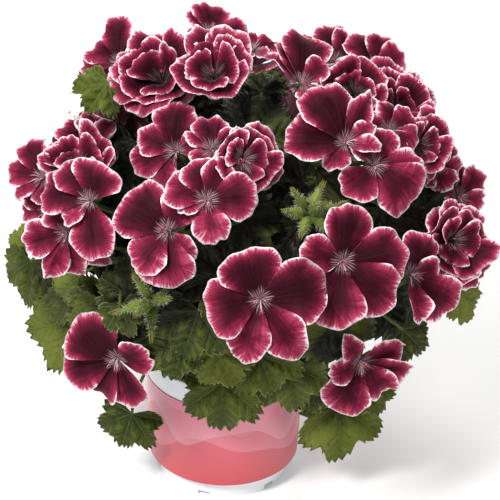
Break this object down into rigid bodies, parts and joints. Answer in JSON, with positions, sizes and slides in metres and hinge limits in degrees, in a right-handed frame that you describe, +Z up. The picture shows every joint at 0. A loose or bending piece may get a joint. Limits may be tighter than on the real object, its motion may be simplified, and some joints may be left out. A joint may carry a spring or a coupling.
{
  "type": "potted geranium",
  "caption": "Potted geranium: domed heads of ruffled, pale-edged flowers over toothed, lobed leaves on stems, in a round plastic pot with a printed wrap-around band.",
  "frame": {"origin": "centre of the pot's flat foot, at the height of the surface that it stands on", "axes": "+Z up along the pot's axis, -Y towards the viewer of the picture, +X to that viewer's right"},
  "size_m": [0.3473, 0.3381, 0.3635],
  "materials": {
    "petal": "soft satin",
    "leaf": "matte, slightly downy",
    "pot": "smooth, semi-gloss",
    "band": "printed film, semi-gloss",
    "soil": "crumbly, matte"
  },
  "bodies": {
    "root": {"pot": "pot", "label_band": "band", "soil": "soil", "flower_head_left": "petal", "flower_head_far_left": "petal", "flower_head_top": "petal", "flower_head_middle_left": "petal", "flower_head_top_right": "petal", "flower_head_middle_right": "petal", "flower_head_right": "petal", "flower_head_far_right": "petal", "flower_head_centre": "petal", "flower_head_low_left": "petal", "flower_head_low_right": "petal", "flower_head_back_upper_1": "petal", "flower_head_back_upper_2": "petal", "flower_head_back_upper_3": "petal", "flower_head_back_upper_4": "petal", "flower_head_back_lower_1": "petal", "flower_head_back_lower_2": "petal", "flower_head_back_lower_3": "petal", "flower_head_back_lower_4": "petal", "leafy_stem_front": "leaf", "leafy_stem_front_right": "leaf", "leafy_stem_back_right": "leaf", "leafy_stem_back": "leaf", "leafy_stem_back_left": "leaf", "leafy_stem_front_left": "leaf", "leafy_stem_top_left": "leaf", "leafy_stem_top_right": "leaf"}
  },
  "joints": []
}
